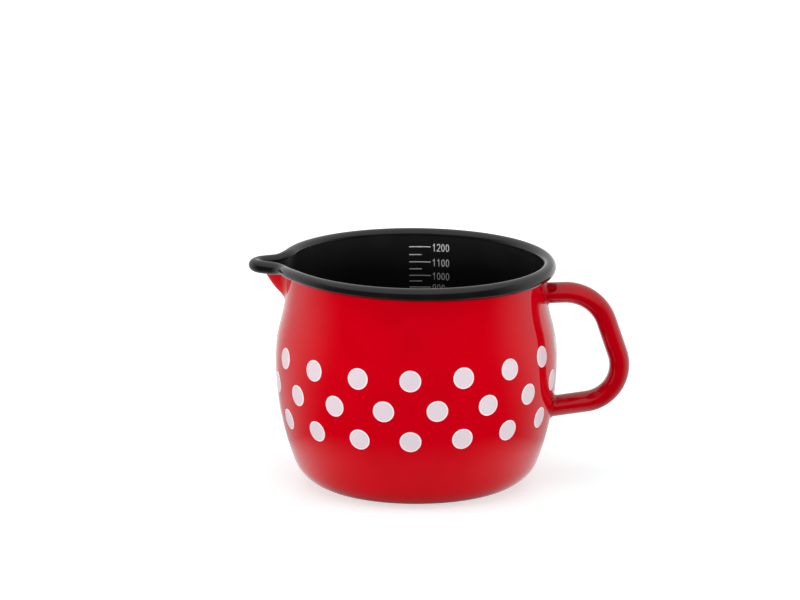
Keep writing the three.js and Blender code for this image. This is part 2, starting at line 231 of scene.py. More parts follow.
@dataclass(frozen=True)
class PotWall:
    """Outside of the pot's wall with its spout, which every other piece is set against.

    Angles of the columns start at the spout's axis and grow towards the front. The belly is a hair
    narrower than the solids', whose facets lie inside their circle.
    """

    pot_height: float = 115.7
    belly_diameter: float = 142.72
    belly_height: float = 64.0
    lower_belly_radius: float = 150.0
    corner_radius: float = 17.8
    neck_inset: float = 6.4
    shoulder_share: float = 0.39
    steel: float = 1.0
    thickness: float = 1.3
    roll_width: float = 7.0
    roll_height: float = 6.5
    rim_tilt: float = 1.2
    rim_high_side: float = 24.0
    rim_tilt_depth: float = 8.0
    spout_projection: float = 14.3
    spout_depth: float = 18.3
    spout_droop: float = 2.1
    spout_dip_side: float = 7.0
    spout_dip_spread: float = 16.0
    spout_tip_radius: float = 4.4
    spout_flank: float = 26.0
    spout_crease: float = 10.0
    spout_foot_share: float = 0.5
    spout_foot_softness: float = 0.05
    arc_rows: tuple[int, ...] = (12, 20, 14, 40)
    plan_points: int = 80
    flank_points: int = 40
    spout_columns: int = 60
    round_columns: int = 200

    @property
    def mouth_radius(self) -> float:
        """Radius of the outside at the rim."""
        return self.belly_diameter / 2 - self.neck_inset

    @property
    def rim_height(self) -> float:
        """Height where the wall ends in the middle of the roll."""
        return self.pot_height - self.roll_height / 2

    def arcs(self) -> list[Arc]:
        """Arcs of the meridian from the base to the rim, each tangent to the next.

        Returns:
            The corner, the lower belly, the shoulder and the hollow neck. The shoulder and the
            neck share the inset of the mouth, so together they bend as one arc of the radius
            (span squared plus inset squared) over twice the inset.
        """
        belly = self.belly_diameter / 2
        span = self.rim_height - self.belly_height
        bend = (span**2 + self.neck_inset**2) / (2 * self.neck_inset)
        shoulder = bend * self.shoulder_share
        tilt = np.arcsin(span / bend)
        inner = self.lower_belly_radius - self.corner_radius
        corner = np.arcsin((self.belly_height - self.corner_radius) / inner)
        lower = belly - self.lower_belly_radius
        base = lower + inner * np.cos(corner)
        neck = bend - shoulder
        return [
            Arc(base, self.corner_radius, self.corner_radius, -np.pi / 2, -corner),
            Arc(lower, self.belly_height, self.lower_belly_radius, -corner, 0.0),
            Arc(belly - shoulder, self.belly_height, shoulder, 0.0, tilt),
            Arc(self.mouth_radius + neck, self.rim_height, -neck, tilt, 0.0),
        ]

    def meridian(self) -> tuple[Array, Array, Array]:
        """Rows of the outside from the edge of the base to the rim.

        Returns:
            Radius, height and slope of the normal at each row: middle plus bend times the cosine
            and the sine of the slope, with even steps of slope on each arc.
        """
        rows = []
        for arc, count in zip(self.arcs(), self.arc_rows):
            slope = np.linspace(arc.start, arc.stop, count + 1)
            radius = arc.radius + arc.bend * np.cos(slope)
            height = arc.height + arc.bend * np.sin(slope)
            rows.append(np.stack([radius, height, slope])[:, min(len(rows), 1):])
        radius, height, slope = np.concatenate(rows, axis=1)
        return radius, height, slope

    def outside(self, height: Array) -> tuple[Array, Array]:
        """Round outside at a height, where an arc's slope is the arc sine of height over bend.

        Args:
            height: Heights above the base.

        Returns:
            Radius and slope of the normal at each height.
        """
        arcs = self.arcs()
        tops = [arc.height + arc.bend * np.sin(arc.stop) for arc in arcs]
        slopes = [np.arcsin(np.clip((height - arc.height) / arc.bend, -1, 1)) for arc in arcs]
        radii = [arc.radius + arc.bend * np.cos(slope) for arc, slope in zip(arcs, slopes)]
        below = [height <= top for top in tops[:-1]]
        return np.select(below, radii[:-1], radii[-1]), np.select(below, slopes[:-1], slopes[-1])

    def place(self, angle: Array, height: Array, distance: Array) -> Array:
        """Points off the round outside, moved along its normal by a distance.

        Args:
            angle: Angle from the front towards the handle.
            height: Height on the outside.
            distance: Distance outwards, below zero for inwards.

        Returns:
            The points, with x, y and z on the last axis.
        """
        radius, slope = self.outside(height)
        around = radius + distance * np.cos(slope)
        rise = height + distance * np.sin(slope)
        return np.stack([around * np.sin(angle), -around * np.cos(angle), rise], axis=-1)

    def spout_plan(self) -> tuple[Array, Array, Array]:
        """Half of the spout's plan at the rim, from its tip out to the round wall.

        The plan is the tip's arc, a straight flank and a hollow fillet that touches the round wall.
        The fillet's centre lies on a line beside the flank, its own radius and the mouth's from the
        pot's axis.

        Returns:
            Angle off the spout's axis, how far the point stands out of the round wall, and the
            length along the plan.
        """
        flank = np.radians(self.spout_flank)
        fillet = self.roll_width - self.thickness + self.spout_crease
        tip = np.array([self.mouth_radius + self.spout_projection - self.spout_tip_radius, 0.0])
        along = unit(np.pi - flank)
        across = unit(np.pi / 2 - flank)
        start = tip + across * (self.spout_tip_radius + fillet)
        half = start @ along
        run = -half - np.sqrt(half**2 - start @ start + (self.mouth_radius + fillet) ** 2)
        centre = start + along * run
        swing = np.arctan2(centre[1], centre[0])
        turn = np.linspace(0, np.pi / 2 - flank, self.plan_points)
        round_tip = tip + self.spout_tip_radius * unit(turn)
        turn = np.linspace(-np.pi / 2 - flank, swing - np.pi, self.plan_points)
        hollow = centre + fillet * unit(turn)
        straight = np.linspace(round_tip[-1], hollow[0], self.flank_points)[1:-1]
        plan = np.concatenate([round_tip, straight, hollow])
        length = np.cumsum(np.linalg.norm(np.diff(plan, axis=0, prepend=plan[:1]), axis=1))
        out = np.linalg.norm(plan, axis=1) - self.mouth_radius
        return np.arctan2(plan[:, 1], plan[:, 0]), out, length

    def spout_out(self, angle: Array) -> Array:
        """How far the spout stands out of the round wall at the rim, at an angle off its axis."""
        angles, out, _ = self.spout_plan()
        return np.interp(np.abs(angle), angles, out, right=0.0)

    def on_spout(self, out: Array) -> Array:
        """Smooth share of being on the spout: all of it from half the projection on."""
        return smooth(out / (self.spout_projection / 2))

    def ring_angles(self) -> Array:
        """Angles of the columns off the spout's axis: even along the spout's plan, then even."""
        angles, _, length = self.spout_plan()
        even = np.linspace(0, length[-1], self.spout_columns + 1)
        half = np.interp(even, length, angles)
        edge = half[-1]
        rest = np.linspace(edge, 2 * np.pi - edge, self.round_columns + 1)[1:-1]
        return np.concatenate([-half[:0:-1], half, rest])

    def rows(self) -> tuple[Array, Array, Array]:
        """Outside of the wall with its spout, as rows of columns.

        A row's share of the spout runs straight from none at the foot to all at the rim, with a
        soft foot: t plus the root of t squared plus softness squared, over its value at the rim.
        The spout narrows towards its foot and stands out by its share of the plan. Near the rim
        the wall rises by the cosine of the angle off the high side, so that the rim tilts. It
        dips where the spout stands out, and beside it by a bell of the angle off a place a little
        to the spout's front.

        Returns:
            Points (rows by columns by three), normals in plan (rows by columns by two) and the
            slope of each row.
        """
        radius, height, slope = (value[:, None] for value in self.meridian())
        angle = self.ring_angles()[None, :]
        reach = 1 - (self.rim_height - height) / self.spout_depth
        soft = self.spout_foot_softness
        share = (reach + np.hypot(reach, soft)) / (1 + np.hypot(1, soft))
        out = share * self.spout_out(angle / mix(self.spout_foot_share, 1, share))
        around = radius + out
        near_rim = smooth(1 - (self.rim_height - height) / self.rim_tilt_depth)
        lift = self.rim_tilt * near_rim * np.cos(angle - np.radians(self.rim_high_side))
        off = (signed(angle) - np.radians(self.spout_dip_side)) / np.radians(self.spout_dip_spread)
        beside = near_rim * np.exp(-(off**2))
        dip = self.spout_droop * (1 - (1 - beside) * (1 - self.on_spout(out)))
        rise = height + lift - dip
        points = np.stack([-around * np.cos(angle), -around * np.sin(angle), rise], axis=-1)
        step = np.roll(points, -1, axis=1) - np.roll(points, 1, axis=1)
        normal = np.stack([step[..., 1], -step[..., 0]], axis=-1)
        normal /= np.linalg.norm(normal, axis=-1, keepdims=True)
        return points, normal, slope

    def skin(self, distance: float) -> Array:
        """Rows of the wall moved off its outside.

        Args:
            distance: Distance outwards along the normal, below zero for inwards.

        Returns:
            Points, rows by columns by three.
        """
        points, normal, slope = self.rows()
        sideways = normal * np.cos(slope)[..., None]
        upwards = np.broadcast_to(np.sin(slope)[..., None], (*points.shape[:-1], 1))
        return points + distance * np.concatenate([sideways, upwards], axis=-1)

    def bowl(self, outer: float, inner: float) -> Surface:
        """Closed bowl between two distances inside the wall's outside.

        Args:
            outer: Depth of the bowl's own outside below the wall's outside.
            inner: Depth of the bowl's own inside.

        Returns:
            The surface: the outer rows up to the rim, the inner rows down again and two poles.
        """
        surface = Surface()
        numbers = surface.add_grid(np.concatenate([self.skin(-outer), self.skin(-inner)[::-1]]))
        surface.add_caps(numbers, np.array([0.0, 0.0, outer]), np.array([0.0, 0.0, inner]))
        return surface


class Wiring:
    """Adds shader nodes to one tree and wires them up."""

    def __init__(self, tree: bpy.types.NodeTree) -> None:
        """Works on a tree."""
        self.tree = tree

    def add(self, kind: str, inputs: dict | None = None, **settings: object) -> bpy.types.Node:
        """Adds a node.

        Args:
            kind: Blender's name of the node's type.
            inputs: Sockets to link or values to set, by the label or number of the input.
            settings: The node's own settings by their names, which are set first.

        Returns:
            The node.
        """
        node = self.tree.nodes.new(kind)
        for name, value in settings.items():
            setattr(node, name, value)
        for label, value in (inputs or {}).items():
            if isinstance(value, bpy.types.NodeSocket):
                self.tree.links.new(value, node.inputs[label])
            else:
                node.inputs[label].default_value = value
        return node

    def math(self, operation: str, *values: Socket | float) -> Socket:
        """Output of a Math node that has an operation and its values in order."""
        return self.add("ShaderNodeMath", dict(enumerate(values)), operation=operation).outputs[0]

    def mix(self, share: Socket, low: Socket, high: Socket | Colour) -> Socket:
        """Output of a Mix node, whose colours are inputs 6 and 7: low at share 0, high at 1."""
        return self.add("ShaderNodeMix", {0: share, 6: low, 7: high}, data_type="RGBA").outputs[2]

    def step(self, value: Socket, span: Span) -> Socket:
        """Smooth step from 0 to 1.

        Args:
            value: Socket with the value.
            span: The value that gives 0 and the value that gives 1, either of them the larger.

        Returns:
            The step.
        """
        none, full = span
        inputs = {
            "Value": value, "From Min": min(span), "From Max": max(span),
            "To Min": float(none > full), "To Max": float(full > none),
        }
        return self.add("ShaderNodeMapRange", inputs, interpolation_type="SMOOTHSTEP").outputs["Result"]


def blank_material(name: str) -> tuple[bpy.types.Material, Wiring]:
    """Makes a material with an empty tree.

    Args:
        name: Name of the material.

    Returns:
        The material and the wiring of its tree.
    """
    material = bpy.data.materials.new(name)
    material.use_nodes = True
    material.node_tree.nodes.clear()
    return material, Wiring(material.node_tree)


@dataclass(frozen=True)
class EnamelGroup:
    """Shader node group of a fired enamel coat, which each enamel sets with its own values.

    Clouds vary the colour where the coat is thinner, smears vary the gloss, orange peel makes
    shallow waves, and specks are scattered pinholes. Sizes are in millimetres.
    """

    name: str = "fired_enamel"
    cloud_size: float = 16.0
    cloud_detail: float = 3.0
    cloud_span: Span = (0.35, 0.75)
    smear_size: float = 34.0
    smear_detail: float = 5.0
    smear_gloss: float = 0.03
    peel_size: float = 3.4
    peel_detail: float = 1.0
    speck_spacing: float = 6.0
    speck_span: Span = (0.07, 0.03)
    speck_share: float = 0.3
    speck_gloss: float = 0.25

    def build(self) -> bpy.types.NodeTree:
        """Builds the group.

        Returns:
            The node group, with the outputs Colour, Roughness and Height.
        """
        tree = bpy.data.node_groups.new(self.name, "ShaderNodeTree")
        sockets = (
            ("INPUT", "NodeSocketColor", ("Colour", "Thin Colour", "Speck Colour")),
            ("INPUT", "NodeSocketFloat", ("Cloud", "Speck", "Gloss")),
            ("OUTPUT", "NodeSocketColor", ("Colour",)),
            ("OUTPUT", "NodeSocketFloat", ("Roughness", "Height")),
        )
        for side, kind, labels in sockets:
            for label in labels:
                tree.interface.new_socket(name=label, in_out=side, socket_type=kind)
        wiring = Wiring(tree)
        given = wiring.add("NodeGroupInput").outputs
        place = wiring.add("ShaderNodeTexCoord").outputs["Object"]
        cloud = self.noise(wiring, place, self.cloud_size, self.cloud_detail)
        smear = self.noise(wiring, place, self.smear_size, self.smear_detail)
        peel = self.noise(wiring, place, self.peel_size, self.peel_detail)
        speck = self.specks(wiring, place, given["Speck"])
        cloudy = wiring.math("MULTIPLY", wiring.step(cloud, self.cloud_span), given["Cloud"])
        coat = wiring.mix(cloudy, given["Colour"], given["Thin Colour"])
        dull = wiring.math("MULTIPLY_ADD", smear, self.smear_gloss, given["Gloss"])
        results = {
            "Colour": wiring.mix(speck, coat, given["Speck Colour"]),
            "Roughness": wiring.math("MULTIPLY_ADD", speck, self.speck_gloss, dull),
            "Height": wiring.math("SUBTRACT", peel, speck),
        }
        wiring.add("NodeGroupOutput", results)
        return tree

    @staticmethod
    def noise(wiring: Wiring, place: Socket, size: float, detail: float) -> Socket:
        """Noise about a mean of 0.5, with a grain of a size and with octaves of detail."""
        inputs = {"Vector": place, "Scale": 1 / (size * MM), "Detail": detail}
        return wiring.add("ShaderNodeTexNoise", inputs).outputs["Fac"]

    def specks(self, wiring: Wiring, place: Socket, amount: Socket) -> Socket:
        """Mask of small round specks in some cells of a Voronoi pattern.

        Args:
            wiring: Wiring of the group.
            place: Coordinates.
            amount: Strength of the mask.

        Returns:
            The mask.
        """
        inputs = {"Vector": place, "Scale": 1 / (self.speck_spacing * MM)}
        cells = wiring.add("ShaderNodeTexVoronoi", inputs).outputs
        split = wiring.add("ShaderNodeSeparateColor", {"Color": cells["Color"]}).outputs
        spot = wiring.step(cells["Distance"], self.speck_span)
        chosen = wiring.math("LESS_THAN", split["Red"], self.speck_share)
        return wiring.math("MULTIPLY", wiring.math("MULTIPLY", spot, chosen), amount)


@dataclass(frozen=True)
class Enamel:
    """Fired enamel finish: colours, gloss and the depth of its orange peel in millimetres."""

    slot: Slot
    colour: Colour
    thin: Colour
    speck_colour: Colour
    gloss: float
    peel: float
    cloud: float = 0.8
    speck: float = 0.5
    ior: float = 1.5

    def shade(self, group: bpy.types.NodeTree) -> bpy.types.Material:
        """Makes the material.

        Args:
            group: Shared enamel group.

        Returns:
            The material, a Principled shader fed by the group.
        """
        material, wiring = blank_material(self.slot.value)
        values = {
            "Colour": self.colour, "Thin Colour": self.thin, "Speck Colour": self.speck_colour,
            "Cloud": self.cloud, "Speck": self.speck, "Gloss": self.gloss,
        }
        coat = wiring.add("ShaderNodeGroup", values, node_tree=group).outputs
        waves = {"Height": coat["Height"], "Strength": 1.0, "Distance": self.peel * MM}
        inputs = {
            "Base Color": self.top_coat(wiring, coat["Colour"]),
            "Roughness": coat["Roughness"],
            "IOR": self.ior,
            "Normal": wiring.add("ShaderNodeBump", waves).outputs["Normal"],
        }
        shader = wiring.add("ShaderNodeBsdfPrincipled", inputs)
        wiring.add("ShaderNodeOutputMaterial", {"Surface": shader.outputs["BSDF"]})
        return material

    def top_coat(self, wiring: Wiring, colour: Socket) -> Socket:
        """Colour of the coat as it is, with no painted highlight."""
        return colour


@dataclass(frozen=True)
class RingedEnamel(Enamel):
    """Enamel with a painted highlight: paler in a ring along the edge of each spot of it, standing in for the
    glint on the spot's rounded edge.
    """

    # Colour and span of the painted highlight along each spot's edge.
    ring: Colour = (1.0, 1.0, 1.0, 1.0)
    ring_span: Span = (0.86, 0.92)

    def top_coat(self, wiring: Wiring, colour: Socket) -> Socket:
        """Colour of the coat with its painted highlight, paler where the piece's edge mark nears 1."""
        edge = wiring.add("ShaderNodeAttribute", attribute_name=EDGE_MARK)
        return wiring.mix(wiring.step(edge.outputs["Fac"], self.ring_span), colour, self.ring)


RED_ENAMEL = Enamel(
    slot=Slot.RED, colour=srgb(206, 0, 21), thin=srgb(200, 0, 17), speck_colour=srgb(120, 0, 8),
    gloss=0.03, peel=0.012, speck=0.35,
)
# The handle's enamel is the same red enamel painted darker: painted shade, so the handle reads darker than
# the belly.
SHADED_HANDLE_ENAMEL = replace(RED_ENAMEL, colour=srgb(178, 0, 17), thin=srgb(170, 0, 14))
LINING_ENAMEL = Enamel(
    slot=Slot.LINING, colour=srgb(29, 29, 30), thin=srgb(34, 34, 36), speck_colour=srgb(50, 50, 52),
    gloss=0.28, peel=0.014,
)
RIM_ENAMEL = Enamel(
    slot=Slot.RIM, colour=srgb(20, 20, 20), thin=srgb(25, 25, 26), speck_colour=srgb(60, 60, 62),
    gloss=0.07, peel=0.01, ior=1.62,
)
# The white dots' enamel carries a painted highlight: a paler ring along each dot's edge.
WHITE_ENAMEL = RingedEnamel(
    slot=Slot.WHITE, colour=srgb(228, 211, 219), thin=srgb(232, 216, 223),
    speck_colour=srgb(206, 176, 186), gloss=0.12, peel=0.012, ring=srgb(252, 245, 245),
)
SCALE_ENAMEL = replace(WHITE_ENAMEL, colour=srgb(252, 252, 252), thin=srgb(246, 246, 246), speck=0.0)
FINISHES = (RED_ENAMEL, SHADED_HANDLE_ENAMEL, LINING_ENAMEL, RIM_ENAMEL, WHITE_ENAMEL, SCALE_ENAMEL)


class Dresser:
    """Gives each piece its material, its slot, its body and the nodes that it stands for."""

    def __init__(self) -> None:
        """Builds the shared enamel group and one material for each finish."""
        group = EnamelGroup().build()
        self.materials = {finish: finish.shade(group) for finish in FINISHES}

    def dress(self, piece: bpy.types.Object, finish: Enamel, nodes: list[str]) -> None:
        """Dresses a piece.

        Args:
            piece: Mesh object in its place.
            finish: Its finish.
            nodes: CAD nodes that it stands for.
        """
        piece.data.materials.append(self.materials[finish])
        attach(piece, BODY)
        if nodes:
            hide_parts(*nodes)
        log.info("%s: %d faces, %s", piece.name, len(piece.data.polygons), finish.slot.value)


@dataclass(frozen=True)
class Vessel:
    """Red steel vessel and its black lining, two bowls with a hair of room between them."""

    wall: PotWall
    room: float = 0.05

    def build(self, dresser: Dresser) -> None:
        """Builds and dresses both bowls."""
        steel = self.wall.bowl(0.0, self.wall.steel - self.room).make("steel_vessel")
        dresser.dress(steel, RED_ENAMEL, ["vessel_shell"])
        lining = self.wall.bowl(self.wall.steel, self.wall.thickness).make("black_lining")
        dresser.dress(lining, LINING_ENAMEL, ["inner_lining"])


@dataclass(frozen=True)
class RimRoll:
    """Rolled rim: the sheet's edge curled outwards round the mouth and the spout, starting a lift
    above the wall's end."""

    wall: PotWall
    curl: float = 300.0
    height: float = 6.48
    height_change: float = 1.1
    spout_height: float = 6.4
    lift: float = 0.01
    steps: int = 48
    sharp: float = 60.0

    def hook(self, inset: float) -> Array:
        """One face of the curled sheet: an oval of the roll's width and height less the inset.

        The height falls towards the spout with the cosine of the angle off its axis, and has its
        own value on the spout.

        Args:
            inset: Depth of the face below the outside of the roll.

        Returns:
            Points, rows along the curl by columns round the rim.
        """
        points, normals, _ = self.wall.rows()
        rim, normal = points[-1], normals[-1]
        ring = self.wall.ring_angles()
        flat = self.wall.on_spout(self.wall.spout_out(signed(ring)))
        height = mix(self.height - self.height_change * np.cos(ring), self.spout_height, flat)
        half = height / 2 - inset
        start = np.pi - np.arcsin(self.lift / half)
        along = np.linspace(0, 1, self.steps + 1)[:, None]
        angle = mix(start, np.pi - np.radians(self.curl), along)
        width = self.wall.roll_width
        outwards = width / 2 - self.wall.thickness + (width / 2 - inset) * np.cos(angle)
        sideways = rim[:, :2] + normal * outwards[..., None]
        return np.concatenate([sideways, (rim[:, 2] + half * np.sin(angle))[..., None]], axis=-1)

    def build(self, dresser: Dresser) -> None:
        """Builds and dresses the roll as a closed sheet of the wall's thickness."""
        surface = Surface()
        sheet = np.concatenate([self.hook(0.0), self.hook(self.wall.thickness)[::-1]])
        surface.add_grid(sheet, closed_rows=True)
        dresser.dress(surface.make("rolled_rim", self.sharp), RIM_ENAMEL, ["rim_roll"])


@dataclass(frozen=True)
class HandleArm:
    """Straight arm of the handle in the upright plane: its root, its direction away from the
    vessel, the direction out of the loop, its depth and its length to the bend."""

    root: Array
    away: Array
    side: Array
    depth: float
    length: float

    def point(self, out: Array, travel: Array) -> list[Array]:
        """Place along x and height of a point that far out of the loop and along the arm."""
        return [self.root[axis] + self.side[axis] * out + self.away[axis] * travel for axis in (0, 1)]


@dataclass(frozen=True)
class LoopHandle:
    """Hollow loop handle with soft welded roots and a small vent hole near the upper root.

    The vent's rings are shares of the room round it: the middle, the floor's edge, the top of the
    side, the lip's edge and the edge of the room.
    """

    wall: PotWall
    drop: float = 14.35
    reach: float = 102.9
    upper_rise: float = 2.5
    lower_root: float = 39.0
    lower_rise: float = 8.9
    lean: float = 18.8
    upper_bend: float = 21.6
    lower_bend: float = 19.6
    depth: float = 10.3
    lower_depth: float = 10.2
    width: float = 16.0
    weld: float = 1.6
    sunk: float = 0.4
    vent_radius: float = 1.66
    vent_lip: float = 0.1
    vent_depth: float = 2.8
    vent_angle: float = 42.0
    vent_room: float = 2.1
    vent_rings: tuple[float, ...] = (0.0, 0.4, 0.8, 0.88, 1.0)
    vent_cells: int = 42
    round_cells: int = 90
    weld_rows: int = 10
    arm_rows: int = 8
    bend_rows: int = 36
    grip_rows: int = 10
    halvings: int = 40
    sharp: float = 50.0

    def line(self) -> tuple[HandleArm, HandleArm, Array, Array]:
        """Middle line of the handle: two straight arms joined by two bends and a leaning grip.

        The lower bend's middle keeps the reach and touches the lower arm. The upper bend's middle
        lies one bend inside both the grip and the upper arm.

        Returns:
            The upper arm, the lower arm and the middles of the upper and the lower bend.
        """
        lean, upper, lower = np.radians([self.lean, self.upper_rise, self.lower_rise])
        high = self.wall.rim_height - self.drop
        upper_root = np.array([float(self.wall.outside(np.array(high))[0]), high])
        foot = float(self.wall.outside(np.array(self.lower_root))[0])
        lower_root = np.array([foot, self.lower_root])
        grip_side = unit(lean)
        arm_top = unit(upper + np.pi / 2)
        across = self.reach - self.lower_bend
        climb = (self.lower_bend + (across - foot) * np.sin(lower)) / np.cos(lower)
        lower_middle = np.array([across, self.lower_root + climb])
        grip_line = (lower_middle + grip_side * self.lower_bend) @ grip_side - self.upper_bend
        arm_line = upper_root @ arm_top - self.upper_bend
        upper_middle = np.linalg.solve(np.stack([grip_side, arm_top]), np.array([grip_line, arm_line]))
        away = unit(upper)
        first = HandleArm(upper_root, away, arm_top, self.depth, (upper_middle - upper_root) @ away)
        away = unit(lower)
        under = unit(lower - np.pi / 2)
        last = HandleArm(lower_root, away, under, self.lower_depth, (lower_middle - lower_root) @ away)
        return first, last, upper_middle, lower_middle

    def columns(self) -> Array:
        """Angles round the oval section, close together beside the vent and even on the rest."""
        middle = np.radians(self.vent_angle)
        spread = self.vent_room / self.stretch()
        near = np.linspace(middle - spread, middle + spread, self.vent_cells + 1)
        rest = np.linspace(near[-1], near[0] + 2 * np.pi, self.round_cells + 1)[1:-1]
        return np.concatenate([near, rest])

    def stretch(self) -> float:
        """Length along the oval for one radian of its angle, beside the vent."""
        angle = np.radians(self.vent_angle)
        return float(np.hypot(self.depth / 2 * np.cos(angle), self.width / 2 * np.sin(angle)))

    def section(self, depth: Array, angle: Array, outset: Array) -> tuple[Array, Array]:
        """Point of the oval section: half the depth times the sine and half the width times the
        cosine of its angle, both with an outset.

        Args:
            depth: Depth of the section.
            angle: Angle round the section, from the front over the outside of the loop.
            outset: How far the oval is grown.

        Returns:
            Distance out of the loop and distance across it.
        """
        return (depth / 2 + outset) * np.sin(angle), -(self.width / 2 + outset) * np.cos(angle)

    def on_arm(self, arm: HandleArm, angle: Array, outset: Array, standoff: Array) -> Array:
        """Points on a straight arm at a distance from the vessel, found by halving.

        Args:
            arm: The arm.
            angle: Angle round the section.
            outset: How far the oval is grown.
            standoff: Distance from the vessel along the arm, or infinite for the bend.

        Returns:
            The points.
        """
        out, across = self.section(arm.depth, angle, outset)
        shape = np.broadcast(out, across, standoff).shape
        near = np.full(shape, -self.width)
        far = np.full(shape, self.width)
        for _ in range(self.halvings):
            travel = (near + far) / 2
            x, z = arm.point(out, travel)
            clear = np.hypot(x, across) > self.wall.outside(z)[0]
            far = np.where(clear, travel, far)
            near = np.where(clear, near, travel)
        x, z = arm.point(out, np.where(np.isfinite(standoff), far + standoff, arm.length))
        return np.stack([x, np.broadcast_to(across, shape), z], axis=-1)

    def arm_grid(self, arm: HandleArm, angle: Array, vented: bool) -> Array:
        """Rows of an arm from inside the vessel's wall to the bend.

        The weld is a hollow quarter circle: outset w - w sin t and standoff w - w cos t. The rest
        runs straight from the weld to the bend.

        Args:
            arm: The arm.
            angle: Angles of the columns.
            vented: Whether the arm has the vent hole.

        Returns:
            Points, rows by columns by three.
        """
        turn = np.linspace(0, np.pi / 2, self.weld_rows)[:, None]
        grown = np.concatenate([[[self.weld]], self.weld * (1 - np.sin(turn))])
        away = np.concatenate([[[-self.sunk]], self.weld * (1 - np.cos(turn))])
        rows = [self.on_arm(arm, angle[None, :], grown, away)]
        if vented:
            rows.append(self.vent_grid(arm, angle)[1:])
        end = self.on_arm(arm, angle, np.zeros(1), np.full(1, np.inf))
        share = np.linspace(0, 1, self.arm_rows + 1)[1:, None, None]
        rows.append(mix(rows[-1][-1], end, share))
        return np.concatenate(rows)

    def vent_grid(self, arm: HandleArm, angle: Array) -> Array:
        """Rows of the arm beside the vent, with the vent hole pressed into them.

        Square rings of the grid about the hole's middle become round ones. The rings outside the
        hole lie on the arm, and those inside go down its side and over its floor.

        Args:
            arm: The arm.
            angle: Angles of the columns.

        Returns:
            Points, rows by columns by three.
        """
        middle = np.radians(self.vent_angle)
        room = self.vent_room
        even = np.linspace(-room, room, self.vent_cells + 1)[:, None]
        turned = (signed(angle - middle) * self.stretch())[None, :]
        along, around = np.broadcast_arrays(even, turned)
        square = np.maximum(np.abs(along), np.abs(around))
        ring = square / room
        circle = np.maximum(np.hypot(along, around), SMALLEST)
        hole, lip = self.vent_radius, self.vent_radius + self.vent_lip
        size = np.interp(ring, self.vent_rings, [0, hole, hole, lip, room])
        deep = np.interp(ring, self.vent_rings, [self.vent_depth, self.vent_depth, self.vent_lip, 0, 0])
        squared = np.interp(ring, self.vent_rings[-2:], [0, 1])
        corner = mix(1.0, circle / np.maximum(square, SMALLEST), squared)
        scale = np.where(ring < 1, size * corner / circle, 1.0)
        warped = middle + around * scale / self.stretch()
        points = self.on_arm(arm, warped, np.zeros_like(along), self.weld + room + along * scale)
        out = np.sin(warped) / arm.depth
        across = -np.cos(warped) / self.width
        push = deep / np.hypot(out, across)
        inwards = np.stack([arm.side[0] * out, across, arm.side[1] * out], axis=-1)
        return points - inwards * push[..., None]

    def bend_grid(self, middle: Array, radius: float, turn: Array, depth: Array, angle: Array) -> Array:
        """Rows of a bend: the section carried round its middle.

        Args:
            middle: Middle of the bend.
            radius: Radius of its middle line.
            turn: Angle of each row round the middle.
            depth: Depth of the section at each row.
            angle: Angles of the columns.

        Returns:
            Points, rows by columns by three.
        """
        turn = turn[:, None]
        out, across = self.section(depth[:, None], angle[None, :], 0.0)
        x = middle[0] + (radius + out) * np.cos(turn)
        z = middle[1] + (radius + out) * np.sin(turn)
        return np.stack([x, np.broadcast_to(across, x.shape), z], axis=-1)

    def build(self, dresser: Dresser) -> None:
        """Builds and dresses the handle, from the upper root round to the lower one."""
        first, last, upper, lower = self.line()
        angle = self.columns()
        lean, rise, fall = np.radians([self.lean, self.upper_rise, self.lower_rise])
        even = np.linspace(0, 1, self.bend_rows + 1)
        full = np.full(self.bend_rows + 1, self.depth)
        high = self.bend_grid(upper, self.upper_bend, mix(np.pi / 2 + rise, lean, even), full, angle)
        taper = mix(self.depth, self.lower_depth, smooth(even))
        low = self.bend_grid(lower, self.lower_bend, mix(lean, fall - np.pi / 2, even), taper, angle)
        share = np.linspace(0, 1, self.grip_rows + 1)[1:-1, None, None]
        grip = mix(high[-1], low[0], share)
        start = self.arm_grid(first, angle, True)
        end = self.arm_grid(last, angle, False)[::-1]
        surface = Surface()
        numbers = surface.add_grid(np.concatenate([start, high[1:], grip, low, end[1:]]))
        poles = [arm.root - arm.away * self.sunk for arm in (first, last)]
        surface.add_caps(numbers, *(np.array([pole[0], 0.0, pole[1]]) for pole in poles))
        nodes = ["handle_outer_shell", "handle_inner_shell", "upper_handle_weld", "lower_handle_weld"]
        # The handle takes the red enamel with painted shade, darker than the belly's.
        dresser.dress(surface.make("loop_handle", self.sharp), SHADED_HANDLE_ENAMEL, nodes)


